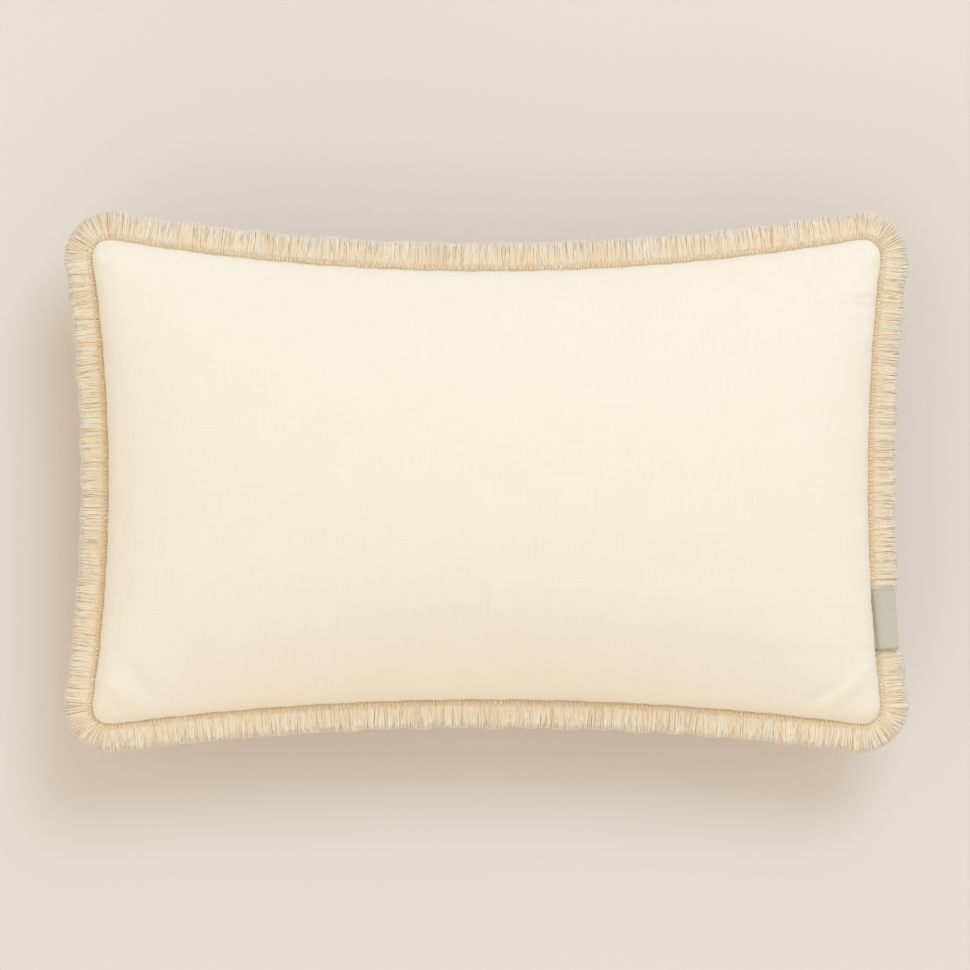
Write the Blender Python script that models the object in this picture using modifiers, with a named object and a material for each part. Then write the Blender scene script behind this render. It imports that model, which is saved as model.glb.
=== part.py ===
"""Fringed rectangular throw pillow: removable cover with a brush fringe and a zip, and its insert.

The pillow lies on its back. Its front faces +Z, its long side runs along X, and the origin is the
centre of the patch that it rests on. Every seam lies in the plane z = SEAM_Z.

A place in the seam's section is (out, up): the distance outward from the seam line, and the height
above the seam plane.
"""
import math

import bmesh
import bpy
from mathutils import Matrix, Vector

MM = 0.001

# ---- driving dimensions, in metres ---------------------------------------------------------------
SEAM_Z = 60 * MM              # height of the seam plane above the surface that the pillow lies on
HALF_X = 240.2 * MM           # half the seam's length, at the corners
HALF_Y = 148.6 * MM           # half the seam's width, at the corners
CORNER_R = 15 * MM            # plan radius of the seam's corners
PULL_LEFT = 12.2 * MM         # how far the filling pulls the middle of each side in
PULL_RIGHT = 9.5 * MM
PULL_TOP = 21.5 * MM
PULL_BOTTOM = 16.8 * MM

CLOTH = 0.6 * MM              # the cover's plain weave
ALLOWANCE = 7.5 * MM          # seam allowance, turned in
FRONT_EDGE = 1.7 * MM         # height of the front allowance's right side above the seam plane
BACK_EDGE = -0.55 * MM        # and of the back allowance's
FRONT_RISE = 58.5 * MM        # crown of the front panel above its edge
BACK_DROP = 60 * MM           # crown of the back panel, before it is pressed flat by what it lies on
EDGE_ROLL = 4.5 * MM          # how far the cloth swells over the allowances
ROLL_REACH = 3 * MM

HEADING = 0.5 * MM            # thickness of the fringe's heading tape
HEADING_OUT = 2.0 * MM        # how far the heading shows outside the seam
BRUSH_FROM = 2.3 * MM         # the cut yarns, from the heading to their tips
BRUSH_TO = 17.0 * MM
BRUSH = 3.6 * MM              # thickness of the run of yarns

ZIP_SLOPE = math.radians(64.5)         # slope of the zip's strip below the seam
ZIP_OUT, ZIP_UP = -3.25 * MM, -6.75 * MM    # the zip's centre line in the seam's section
TAPE = 0.45 * MM
TAPE_HALF_ANGLE = math.radians(5.75)   # half the zip's arc, seen from the centre of the bottom side
COIL_HALF_ANGLE = math.radians(5.55)
SLIDER_HALF_ANGLE = math.radians(5.35)
OPENING_HALF = 179 * MM       # half the length of the opening that the zip closes
OPENING_OUT, OPENING_UP = -6.3 * MM, -12.7 * MM     # edge of the back panel along the zip
OPENING_END = 15 * MM         # length over which that edge comes back to the seam
OPENING_END_ALLOWANCE = 2.2 * MM

CASING = 0.4 * MM             # the insert's non-woven casing
INSERT_IN = 18 * MM           # the insert's seam, inside the cover's
INSERT_CORNER_R = 16 * MM
INSERT_FLANGE = 4.0 * MM
INSERT_EDGE = 0.75 * MM
INSERT_RISE = 57 * MM
INSERT_DROP = 58.5 * MM
INSERT_ROLL = 3.5 * MM
INSERT_FLOOR = 2.6 * MM       # height of the insert's lowest face
FILLING_GAP = 1.6 * MM        # the filling, inside its casing

# ---- how finely the shapes are divided -----------------------------------------------------------
COVER_ROWS = 18
OPENING_COLUMNS = 12
INSERT_GRID = (16, 12)
LONG_STEPS, SHORT_STEPS, CORNER_STEPS = 16, 10, 4
ZIP_STEPS = 24


# ---- scene ---------------------------------------------------------------------------------------
def clear_scene():
    for item in list(bpy.data.objects):
        bpy.data.objects.remove(item, do_unlink=True)


def make_collection(name):
    collection = bpy.data.collections.new(name)
    bpy.context.scene.collection.children.link(collection)
    return collection


def make_material(name, colour, roughness, metallic=0.0):
    material = bpy.data.materials.new(name)
    material.use_nodes = True
    shader = material.node_tree.nodes["Principled BSDF"]
    shader.inputs["Base Color"].default_value = (*colour, 1.0)
    shader.inputs["Roughness"].default_value = roughness
    shader.inputs["Metallic"].default_value = metallic
    material.diffuse_color = (*colour, 1.0)
    return material


clear_scene()
PILLOW = make_collection("throw_pillow")
CUTTERS = make_collection("cutters")
CANVAS = make_material("cover_canvas", (0.88, 0.83, 0.72), 0.9)
YARN = make_material("fringe_yarn", (0.82, 0.69, 0.49), 0.9)
TAPE_CLOTH = make_material("zip_tape", (0.85, 0.79, 0.67), 0.85)
NYLON = make_material("zip_coil", (0.86, 0.81, 0.70), 0.4)
METAL = make_material("zip_metal", (0.62, 0.60, 0.56), 0.3, 1.0)
LABEL_CLOTH = make_material("side_label", (0.45, 0.50, 0.42), 0.8)
SATIN = make_material("care_label", (0.92, 0.92, 0.90), 0.5)
NON_WOVEN = make_material("insert_casing", (0.90, 0.90, 0.88), 0.8)
FIBRE = make_material("insert_filling", (0.95, 0.95, 0.94), 0.95)
THREAD = make_material("sewing_thread", (0.86, 0.80, 0.68), 0.8)


def place(bm, name, material, collection=PILLOW):
    """Turn a bmesh into an object."""
    mesh = bpy.data.meshes.new(name)
    bm.to_mesh(mesh)
    bm.free()
    mesh.materials.append(material)
    item = bpy.data.objects.new(name, mesh)
    collection.objects.link(item)
    return item


def thicken(item, thickness, offset=0.0):
    """Give a sheet its thickness: centred on it, or wholly behind its faces with offset -1."""
    solid = item.modifiers.new("thickness", "SOLIDIFY")
    solid.thickness = thickness
    solid.offset = offset
    solid.use_even_offset = True
    return item


# ---- the plan of the pillow ----------------------------------------------------------------------
def arc_radius(half, pull):
    """Radius of a side that its filling pulls in by pull at the middle."""
    return (half ** 2 + pull ** 2) / (2 * pull)


def side_x(a, b):
    """Distance from the middle to the left or the right side, at b along it."""
    pull = PULL_RIGHT if a > 0 else PULL_LEFT
    radius = arc_radius(HALF_Y, pull)
    return HALF_X - pull + radius - math.sqrt(radius ** 2 - b ** 2)


def side_y(a, b):
    """Distance from the middle to the top or the bottom side, at a along it."""
    pull = PULL_TOP if b > 0 else PULL_BOTTOM
    radius = arc_radius(HALF_X, pull)
    return HALF_Y - pull + radius - math.sqrt(radius ** 2 - a ** 2)


def bow(a, b):
    """Pull a point of the plain rectangle in, as the filling does."""
    return Vector((a / HALF_X * side_x(a, b), b / HALF_Y * side_y(a, b)))


class Seam:
    """A seam line: the corner box less an inset, with rounded corners, its sides pulled in.

    u and v run from -1 to 1 across what the seam encloses; a and b are the same place in the plain
    rectangle, before its sides are pulled in.
    """

    def __init__(self, inset, corner):
        self.half_a = HALF_X - inset
        self.half_b = HALF_Y - inset
        self.corner = corner

    def flat(self, u, v):
        b = v * self.half_b
        past = max(0.0, abs(b) - (self.half_b - self.corner))
        reach = self.half_a - self.corner + math.sqrt(max(0.0, self.corner ** 2 - past ** 2))
        return u * reach, b

    def plan(self, u, v):
        return bow(*self.flat(u, v))

    def past(self, a, b):
        """How far past the start of the corners' rounding a point lies, along each side."""
        return abs(a) - (self.half_a - self.corner), abs(b) - (self.half_b - self.corner)

    def depth(self, u, v):
        """How far inside the seam a point lies."""
        past_a, past_b = self.past(*self.flat(u, v))
        outside = math.hypot(max(past_a, 0.0), max(past_b, 0.0))
        return self.corner - outside - min(max(past_a, past_b), 0.0)

    def outward(self, a, b):
        """Direction away from the pillow at a point on the seam line."""
        pull_x = PULL_RIGHT if a > 0 else PULL_LEFT
        pull_y = PULL_TOP if b > 0 else PULL_BOTTOM
        from_x = -math.asin(abs(b) / arc_radius(HALF_Y, pull_x))
        from_y = math.pi / 2 + math.asin(abs(a) / arc_radius(HALF_X, pull_y))
        past_a, past_b = self.past(a, b)
        share = math.atan2(max(past_b, 0.0), max(past_a, 0.0)) / (math.pi / 2)
        angle = from_x + share * (from_y - from_x)
        return Vector((math.copysign(1, a) * math.cos(angle), math.copysign(1, b) * math.sin(angle)))

    def offset(self, u, v, out):
        """The seam's point at u, v moved outward."""
        a, b = self.flat(u, v)
        return bow(a, b) + out * self.outward(a, b)

    def loop(self, out):
        """Points round the seam line, anticlockwise, moved outward."""
        flat = []
        signs = ((1, 1), (-1, 1), (-1, -1), (1, -1))
        for turn, (sign_x, sign_y) in enumerate(signs):
            middle = Vector((sign_x * (self.half_a - self.corner), sign_y * (self.half_b - self.corner)))
            for k in range(CORNER_STEPS + 1):
                angle = (turn + k / CORNER_STEPS) * math.pi / 2
                flat.append(middle + self.corner * Vector((math.cos(angle), math.sin(angle))))
            next_x, next_y = signs[(turn + 1) % 4]
            finish = Vector((next_x * (self.half_a - self.corner), next_y * (self.half_b - self.corner)))
            angle = (turn + 1) * math.pi / 2
            finish += self.corner * Vector((math.cos(angle), math.sin(angle)))
            steps = LONG_STEPS if turn % 2 == 0 else SHORT_STEPS
            flat += [flat[-1].lerp(finish, k / steps) for k in range(1, steps)]
        return [bow(*point) + out * self.outward(*point) for point in flat]


COVER_SEAM = Seam(0, CORNER_R)
INSERT_SEAM = Seam(INSERT_IN, INSERT_CORNER_R)
FILLING_EDGE = Seam(INSERT_IN + FILLING_GAP, INSERT_CORNER_R)


def crown(u, v):
    """Height of a filled panel, from 0 along its seam to 1 in the middle."""
    return max(0.0, 1 - u * u) ** 0.45 * max(0.0, 1 - abs(v) ** 2.2) ** 0.8


def roll(depth, height):
    return height * (1 - math.exp(-max(depth, 0.0) / ROLL_REACH))


def spread(count):
    """Values from -1 to 1 that close up towards both ends."""
    half = count // 2
    inner = [1 - (1 - k / half) ** 1.6 for k in range(half + 1)]
    return [-value for value in reversed(inner[1:])] + inner


def cover_columns():
    """Even columns along the zip's opening, then closing up towards the short sides."""
    step = 2 * OPENING_HALF / OPENING_COLUMNS
    along = [-OPENING_HALF + k * step for k in range(OPENING_COLUMNS + 1)]
    beyond = [OPENING_HALF + part * (HALF_X - OPENING_HALF) for part in (0.16, 0.4, 0.65, 0.84, 0.95, 1.0)]
    xs = [-x for x in reversed(beyond)] + along + beyond
    return [x / HALF_X for x in xs]


# ---- panels --------------------------------------------------------------------------------------
def grid_sheet(columns, rows, at_point, at_edge):
    """A sheet on a grid, with a strip turned over its whole edge.

    at_point and at_edge give the place of a grid point and of the turned edge beyond it.
    """
    bm = bmesh.new()
    bmesh.ops.create_grid(bm, x_segments=len(columns) - 1, y_segments=len(rows) - 1, size=1)
    where = {}
    for vert in bm.verts:
        column = round((vert.co.x + 1) / 2 * (len(columns) - 1))
        row = round((vert.co.y + 1) / 2 * (len(rows) - 1))
        where[vert] = (columns[column], rows[row])
    rim = [edge for edge in bm.edges if edge.is_boundary]
    turned = bmesh.ops.extrude_edge_only(bm, edges=rim)["geom"]
    fresh = [part for part in turned if isinstance(part, bmesh.types.BMVert)]
    pairs = {}
    for vert in fresh:
        for edge in vert.link_edges:
            other = edge.other_vert(vert)
            if other in where:
                pairs[vert] = where[other]
    for vert, (u, v) in pairs.items():
        vert.co = at_edge(u, v)
    for vert, (u, v) in where.items():
        vert.co = at_point(u, v)
    return bm


def flip(bm):
    bmesh.ops.reverse_faces(bm, faces=bm.faces)


def cover_front_panel():
    def at_point(u, v):
        rise = FRONT_RISE * crown(u, v) + roll(COVER_SEAM.depth(u, v), EDGE_ROLL)
        return Vector((*COVER_SEAM.plan(u, v), SEAM_Z + FRONT_EDGE + rise))

    def at_edge(u, v):
        return Vector((*COVER_SEAM.offset(u, v, -ALLOWANCE), SEAM_Z + FRONT_EDGE))

    bm = grid_sheet(cover_columns(), spread(COVER_ROWS), at_point, at_edge)
    return thicken(place(bm, "cover_front_panel", CANVAS), CLOTH, -1)


def cover_back_panel():
    """The back, pressed flat where it rests, and cut back along the zip."""
    def opens(x, v):
        return abs(x) <= OPENING_HALF + MM and v < 0

    def at_point(u, v):
        x, y = COVER_SEAM.plan(u, v)
        edge = side_y(*COVER_SEAM.flat(u, v))
        if opens(x, v):
            y = v * (edge + OPENING_OUT)
            if v == -1:
                return Vector((x, y, SEAM_Z + OPENING_UP))
        drop = BACK_DROP * crown(u, y / edge) + roll(COVER_SEAM.depth(u, v), EDGE_ROLL)
        return Vector((x, y, max(0.0, SEAM_Z + BACK_EDGE - drop)))

    def at_edge(u, v):
        rim = at_point(u, v)
        if v == -1 and opens(rim.x, v):
            return Vector((rim.x, rim.y + ALLOWANCE, rim.z))
        beside_opening = v == -1 and abs(rim.x) < OPENING_HALF + OPENING_END
        allowance = OPENING_END_ALLOWANCE if beside_opening else ALLOWANCE
        return Vector((*COVER_SEAM.offset(u, v, -allowance), SEAM_Z + BACK_EDGE))

    bm = grid_sheet(cover_columns(), spread(COVER_ROWS), at_point, at_edge)
    flip(bm)
    return thicken(place(bm, "cover_back_panel", CANVAS), CLOTH, -1)


def insert_height(u, v, side, shrink):
    """Height of the insert's front (side 1) or back (side -1), shrink inside its casing."""
    swell = roll(INSERT_SEAM.depth(u, v), INSERT_ROLL)
    if side > 0:
        return SEAM_Z + INSERT_EDGE + (INSERT_RISE - shrink) * crown(u, v) + swell
    drop = (INSERT_DROP - shrink) * crown(u, v) + swell
    return max(INSERT_FLOOR + shrink, SEAM_Z - INSERT_EDGE - drop)


def insert_casing(name, side):
    def at_point(u, v):
        return Vector((*INSERT_SEAM.plan(u, v), insert_height(u, v, side, 0)))

    def at_edge(u, v):
        return Vector((*INSERT_SEAM.offset(u, v, INSERT_FLANGE), SEAM_Z + side * INSERT_EDGE))

    bm = grid_sheet(spread(INSERT_GRID[0]), spread(INSERT_GRID[1]), at_point, at_edge)
    if side < 0:
        flip(bm)
    return thicken(place(bm, name, NON_WOVEN), CASING, -1)


def insert_filling():
    """The fibre, one closed form inside the casing."""
    columns, rows = spread(INSERT_GRID[0]), spread(INSERT_GRID[1])
    bm = bmesh.new()
    for side in (1, -1):
        half = bmesh.new()
        bmesh.ops.create_grid(half, x_segments=len(columns) - 1, y_segments=len(rows) - 1, size=1)
        for vert in half.verts:
            u = columns[round((vert.co.x + 1) / 2 * (len(columns) - 1))]
            v = rows[round((vert.co.y + 1) / 2 * (len(rows) - 1))]
            plan = FILLING_EDGE.plan(u, v)
            rim = max(abs(u), abs(v)) == 1
            height = SEAM_Z if rim else insert_height(u, v, side, FILLING_GAP) - side * FILLING_GAP
            vert.co = Vector((*plan, height))
        if side < 0:
            flip(half)
        mesh = bpy.data.meshes.new("filling_half")
        half.to_mesh(mesh)
        half.free()
        bm.from_mesh(mesh)
        bpy.data.meshes.remove(mesh)
    bmesh.ops.remove_doubles(bm, verts=bm.verts, dist=0.01 * MM)
    return place(bm, "insert_filling", FIBRE)


# ---- bands that run round the seam ---------------------------------------------------------------
def seam_band(name, seam, profile, thickness, material):
    """A thin band round a whole seam; profile is its section, as (out, up) points."""
    bm = bmesh.new()
    rings = []
    for out, up in profile:
        rings.append([bm.verts.new((*spot, SEAM_Z + up)) for spot in seam.loop(out)])
    for ring, following in zip(rings, rings[1:]):
        for k in range(len(ring)):
            bm.faces.new((ring[k - 1], ring[k], following[k], following[k - 1]))
    return thicken(place(bm, name, material), thickness)


def seam_bands():
    seam_band("fringe_heading", COVER_SEAM, [(-7 * MM, 0), (HEADING_OUT, 0)], HEADING, YARN)
    seam_band("fringe_brush", COVER_SEAM, [(BRUSH_FROM, 0), (BRUSH_TO, 0)], BRUSH, YARN)
    overlock = 0.3 * MM
    top, bottom = FRONT_EDGE + 1.05 * MM, BACK_EDGE - 1.05 * MM
    deep, mouth = -ALLOWANCE - 2.0 * MM, -4.5 * MM
    profile = [(mouth, top), (deep, top), (deep, bottom), (mouth, bottom)]
    seam_band("cover_overlock", COVER_SEAM, profile, overlock, THREAD)
    top = INSERT_EDGE + 0.45 * MM
    mouth, deep = 1.5 * MM, INSERT_FLANGE + 1.1 * MM
    profile = [(mouth, top), (deep, top), (deep, -top), (mouth, -top)]
    seam_band("insert_overlock", INSERT_SEAM, profile, overlock, THREAD)


# ---- zip -----------------------------------------------------------------------------------------
# Everything on the zip is turned about one upright axis: the centre of the bottom side's arc.
BOTTOM_MID = HALF_Y - PULL_BOTTOM
BOTTOM_RADIUS = arc_radius(HALF_X, PULL_BOTTOM)
ZIP_AXIS_Y = -(BOTTOM_MID + BOTTOM_RADIUS)


def on_bottom_side(out, up):
    """The place of a seam section's point at the middle of the bottom side."""
    return Vector((0, -BOTTOM_MID - out, SEAM_Z + up))


def on_zip(along, across):
    """A seam section's point, from the zip's own directions: across is positive outward."""
    out = ZIP_OUT + along * math.cos(ZIP_SLOPE) + across * math.sin(ZIP_SLOPE)
    up = ZIP_UP + along * math.sin(ZIP_SLOPE) - across * math.cos(ZIP_SLOPE)
    return out, up


def turned(name, profile, half_angle, material, closed):
    """Turn a section about the zip's axis, as a sheet or, from a closed outline, as a solid."""
    bm = bmesh.new()
    verts = [bm.verts.new(on_bottom_side(out, up)) for out, up in profile]
    if closed:
        geometry = [bm.faces.new(verts)]
    else:
        geometry = [bm.edges.new(pair) for pair in zip(verts, verts[1:])]
    centre = Vector((0, ZIP_AXIS_Y, 0))
    start = Matrix.Rotation(-half_angle, 3, "Z")
    bmesh.ops.rotate(bm, verts=bm.verts, cent=centre, matrix=start)
    bmesh.ops.spin(bm, geom=geometry + list(bm.verts), cent=centre, axis=(0, 0, 1),
                   angle=2 * half_angle, steps=ZIP_STEPS, use_duplicate=False)
    bmesh.ops.remove_doubles(bm, verts=bm.verts, dist=0.01 * MM)
    bmesh.ops.recalc_face_normals(bm, faces=bm.faces)
    return place(bm, name, material)


def zip_tapes():
    """Each tape runs from the coil to its seam, and turns in with the allowances there."""
    edge = 0.6 * MM
    upper_up, lower_up = BACK_EDGE - 0.4 * MM, OPENING_UP + 0.5 * MM
    to_seam = (upper_up - ZIP_UP) / math.sin(ZIP_SLOPE)
    to_panel = (lower_up - ZIP_UP) / math.sin(ZIP_SLOPE)
    upper = [on_zip(edge, 0), on_zip(to_seam, 0), (-7 * MM, upper_up)]
    lower = [on_zip(-edge, 0), on_zip(to_panel, 0), (OPENING_OUT - 7.5 * MM, lower_up)]
    thicken(turned("zip_tape_upper", upper, TAPE_HALF_ANGLE, TAPE_CLOTH, False), TAPE)
    thicken(turned("zip_tape_lower", lower, TAPE_HALF_ANGLE, TAPE_CLOTH, False), TAPE)


def zip_coils():
    """The coils' outer shape: a strip with rounded edges on the outer face of each tape."""
    middle, half_width = 1.7 * MM, 1.0 * MM
    height, half_thick = 1.3 * MM, 0.8 * MM
    for name, side in (("zip_coil_upper", 1), ("zip_coil_lower", -1)):
        section = []
        for k in range(8):
            angle = (k + 0.5) * math.pi / 4
            along = side * middle + half_width * math.cos(angle) / math.cos(math.pi / 8)
            section.append(on_zip(along, height + half_thick * math.sin(angle) / math.cos(math.pi / 8)))
        turned(name, section, COIL_HALF_ANGLE, NYLON, True)


def zip_frame(angle):
    """Matrix of the zip's own directions at an angle along it: X along, Y up the strip, Z outward."""
    middle = on_bottom_side(ZIP_OUT, ZIP_UP)
    tilt = Matrix.Rotation(math.pi - ZIP_SLOPE, 4, "X")
    turn = Matrix.Translation((0, ZIP_AXIS_Y, 0)) @ Matrix.Rotation(angle, 4, "Z")
    return turn @ Matrix.Translation(middle - Vector((0, ZIP_AXIS_Y, 0))) @ tilt


def block(bm, low, high):
    """Add a box from its lowest to its highest corner."""
    low, high = Vector(low), Vector(high)
    shape = Matrix.Translation((low + high) / 2) @ Matrix.Diagonal((*(high - low), 1))
    return bmesh.ops.create_cube(bm, size=1, matrix=shape)["verts"]


def plate(low, high, corner):
    """A plate whose four upright edges are rounded."""
    bm = bmesh.new()
    block(bm, low, high)
    upright = [edge for edge in bm.edges if abs(edge.verts[0].co.z - edge.verts[1].co.z) > 1e-6]
    bmesh.ops.bevel(bm, geom=upright, offset=corner, segments=3, affect="EDGES", profile=0.5)
    return bm


def box_mesh(low, high):
    bm = bmesh.new()
    block(bm, low, high)
    return bm


def combine(item, operation, others):
    """Join or cut an object with other meshes, which stay as guides in the cutters' collection."""
    for k, bm in enumerate(others):
        guide = place(bm, f"{item.name}_guide_{k}", METAL, CUTTERS)
        guide.parent = item.parent
        guide.matrix_basis = item.matrix_basis
        guide.hide_render = True
        guide.display_type = "WIRE"
        boolean = item.modifiers.new(f"{operation.lower()}_{k}", "BOOLEAN")
        boolean.operation = operation
        boolean.solver = "EXACT"
        boolean.object = guide


def axis_empty(name, matrix, parent=None):
    empty = bpy.data.objects.new(name, None)
    PILLOW.objects.link(empty)
    empty.parent = parent
    empty.matrix_basis = matrix
    return empty


BAR_UP = 3.95 * MM            # height of the pull tab's bar above the zip's tapes


def zip_slider_and_tab():
    """The slider stands at the zip's closed end; its tab hangs out on the bridge."""
    travel = axis_empty("zip_travel_axis", Matrix.Translation((0, ZIP_AXIS_Y, SEAM_Z + ZIP_UP))
                        @ Matrix.Rotation(-SLIDER_HALF_ANGLE, 4, "Z"))
    local = travel.matrix_basis.inverted() @ zip_frame(-SLIDER_HALF_ANGLE)

    half_long, half_wide = 4.5 * MM, 3.6 * MM
    top_low, top_high = 2.5 * MM, 3.2 * MM
    base_low, base_high = -1.3 * MM, -0.6 * MM
    slider = place(plate((-half_long, -half_wide, top_low), (half_long, half_wide, top_high), 1.2 * MM),
                   "zip_slider", METAL)
    slider.parent = travel
    slider.matrix_basis = local
    lap = 0.2 * MM
    lip = 0.5 * MM
    bridge_half, bridge_wide, bridge_bar, bridge_top = 3.1 * MM, 0.7 * MM, 0.9 * MM, 5.5 * MM
    parts = [plate((-half_long, -half_wide, base_low), (half_long, half_wide, base_high), 1.2 * MM)]
    parts.append(box_mesh((2.2 * MM, -0.35 * MM, base_high - lap), (3.8 * MM, 0.35 * MM, top_low + lap)))
    for side in (-1, 1):
        inner, outer = sorted((side * (half_wide - lip), side * half_wide))
        parts.append(box_mesh((-3.0 * MM, inner, 0.7 * MM), (3.0 * MM, outer, top_low + lap)))
        near, far = sorted((side * (bridge_half - bridge_bar), side * bridge_half))
        parts.append(box_mesh((near, -bridge_wide, top_high - lap), (far, bridge_wide, bridge_top - lap)))
    beam = bridge_top - 0.8 * MM
    parts.append(box_mesh((-bridge_half, -bridge_wide, beam), (bridge_half, bridge_wide, bridge_top)))
    combine(slider, "UNION", parts)

    swing = axis_empty("pull_swing_axis", local @ Matrix.Translation((0, 0, BAR_UP)), travel)
    bar, tab_half, tab_long, window = 0.35 * MM, 2.4 * MM, 14 * MM, 4.1 * MM
    tab = place(box_mesh((-bar, -tab_half, -bar), (bar, tab_half, tab_long)), "zip_pull_tab", METAL)
    tab.parent = swing
    tab.matrix_basis = Matrix.Identity(4)
    eye = box_mesh((-2 * bar, -1.05 * MM, bar), (2 * bar, 1.05 * MM, window))
    combine(tab, "DIFFERENCE", [eye])


def zip_stops():
    """Stops that the slider runs up against, at the ends of the coils."""
    beyond = (COIL_HALF_ANGLE + TAPE_HALF_ANGLE) / 2
    half = 1.1 * MM
    low, high = 0.5 * MM, 1.9 * MM
    spans = {
        "zip_top_stop_upper": (-beyond, 0.7 * MM, 2.7 * MM),
        "zip_top_stop_lower": (-beyond, -2.7 * MM, -0.7 * MM),
        "zip_bottom_stop": (beyond, -2.7 * MM, 2.7 * MM),
    }
    for name, (angle, near, far) in spans.items():
        stop = place(plate((-half, near, low), (half, far, high), 0.4 * MM), name, METAL)
        stop.matrix_basis = zip_frame(angle)


# ---- labels --------------------------------------------------------------------------------------
def side_strip(name, profile, width, sign, b, thickness, material):
    """A strip of tape of a given width, sewn into a short side at b along it."""
    bm = bmesh.new()
    verts = [bm.verts.new((out, -width / 2, up)) for out, up in profile]
    edges = [bm.edges.new(pair) for pair in zip(verts, verts[1:])]
    fresh = bmesh.ops.extrude_edge_only(bm, edges=edges)["geom"]
    for part in fresh:
        if isinstance(part, bmesh.types.BMVert):
            part.co.y = width / 2
    strip = place(bm, name, material)
    radius = arc_radius(HALF_Y, PULL_RIGHT if sign > 0 else PULL_LEFT)
    lean = math.asin(b / radius)
    spot = bow(sign * HALF_X, b)
    strip.location = (spot.x, spot.y, SEAM_Z)
    strip.rotation_euler.z = -lean if sign > 0 else math.pi + lean
    return thicken(strip, thickness)


def labels():
    layer = 0.3 * MM
    lower, upper = 0.7 * MM, 1.3 * MM
    folded = [(-7 * MM, lower), (0.4 * MM, lower), (1.9 * MM, 2.35 * MM), (13.9 * MM, 2.6 * MM),
              (14.5 * MM, 3.2 * MM), (13.9 * MM, 3.8 * MM), (1.9 * MM, 3.3 * MM), (0.7 * MM, upper),
              (-7 * MM, upper)]
    side_strip("side_label", folded, 36 * MM, 1, -84 * MM, layer, LABEL_CLOTH)
    hanging = [(-11.2 * MM, -2.2 * MM), (-11.3 * MM, -9 * MM), (-11.6 * MM, -16 * MM)]
    side_strip("care_label", hanging, 30 * MM, -1, -60 * MM, layer, SATIN)


def main():
    cover_front_panel()
    cover_back_panel()
    seam_bands()
    zip_tapes()
    zip_coils()
    zip_slider_and_tab()
    zip_stops()
    labels()
    insert_casing("insert_casing_front", 1)
    insert_casing("insert_casing_back", -1)
    insert_filling()
    bpy.context.view_layer.update()


main()
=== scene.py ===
"""Looks of a fringed throw pillow that lies on its back: cover, brush fringe, zip, labels and insert.

Everything is in metres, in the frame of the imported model: the long side runs along X, the front
faces +Z, and the pillow rests on z = 0. A place in the seam's section is (out, up): the distance
outward from the seam line, and the height above the seam plane.
"""

import math

import bpy
import numpy as np
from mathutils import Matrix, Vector


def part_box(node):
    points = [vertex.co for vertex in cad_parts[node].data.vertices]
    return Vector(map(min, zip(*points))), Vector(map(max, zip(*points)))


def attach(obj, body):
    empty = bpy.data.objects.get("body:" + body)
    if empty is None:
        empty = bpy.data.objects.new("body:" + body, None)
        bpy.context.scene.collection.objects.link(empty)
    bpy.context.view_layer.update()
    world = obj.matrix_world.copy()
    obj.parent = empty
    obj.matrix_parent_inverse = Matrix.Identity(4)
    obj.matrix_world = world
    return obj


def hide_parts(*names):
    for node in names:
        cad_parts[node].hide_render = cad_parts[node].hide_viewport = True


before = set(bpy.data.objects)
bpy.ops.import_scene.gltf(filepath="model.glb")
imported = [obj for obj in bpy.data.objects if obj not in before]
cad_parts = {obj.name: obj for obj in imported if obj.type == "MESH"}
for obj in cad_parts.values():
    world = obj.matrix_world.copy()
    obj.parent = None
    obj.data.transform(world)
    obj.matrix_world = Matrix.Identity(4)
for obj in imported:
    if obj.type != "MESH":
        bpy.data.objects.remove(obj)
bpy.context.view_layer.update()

MM = 0.001
PILLOW = "pillow"                      # the CAD body that everything soft rides on

# ---- the seam, as the CAD lays it out ----
SEAM_Z = (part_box("fringe_heading")[0].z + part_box("fringe_heading")[1].z) / 2
HALF_X, HALF_Y = 240.2 * MM, 148.6 * MM
CORNER_R = 15 * MM
PULL_LEFT, PULL_RIGHT = 12.2 * MM, 9.5 * MM
PULL_TOP, PULL_BOTTOM = 21.5 * MM, 16.8 * MM
OPENING_HALF = 171.5 * MM              # half the zip's opening at its full width
OPENING_END = 10 * MM                  # length over which it closes at each end
OPENING_OUT, OPENING_UP = -6.3 * MM, -12.7 * MM      # where the back panel's rim runs along it
ALLOWANCE = 7.5 * MM
CLOTH = 0.6 * MM
LABEL_B, LABEL_WIDE = -84 * MM, 36 * MM      # the side label's place along the right side

# ---- the cloth ----
CUT_X, CUT_Y = 500 * MM, 300 * MM      # the cover's cut, seam to seam, through its middle
FRONT_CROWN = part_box("cover_front_panel")[1].z - SEAM_Z
BACK_CROWN = 66 * MM                   # before the floor presses it flat
FRONT_EDGE, BACK_EDGE = 0.85 * MM, -0.75 * MM
ROLL, ROLL_DEEP = 4.5 * MM, 3 * MM     # how high a panel rolls up off its seam, and how fast
GRID = (100, 60)                       # cells of the grid that is simulated
FINER = 3                              # cells of the finished grid for each of those
TAPE_THICK = 0.4 * MM

# ---- the fringe ----
LOOP_PITCH = 1.65 * MM                 # the heading's loops, each holding a tuft of yarns
LOOP_LONG = 3.3 * MM
YARN_R = 0.245 * MM
YARN_ROOT, YARN_TIP = 1.2 * MM, 16.9 * MM
YARN_LONGEST = 18.3 * MM
BRUSH_RUNS = 6

FULL_TURN = 2 * math.pi
ANY_PHASE = 6.3                        # random phases are drawn from 0 to about a full turn


# ---- plan of the pillow ----
def arc_radius(half, pull):
    """Radius of a side that is drawn in by pull at its middle."""
    return (half ** 2 + pull ** 2) / (2 * pull)


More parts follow.
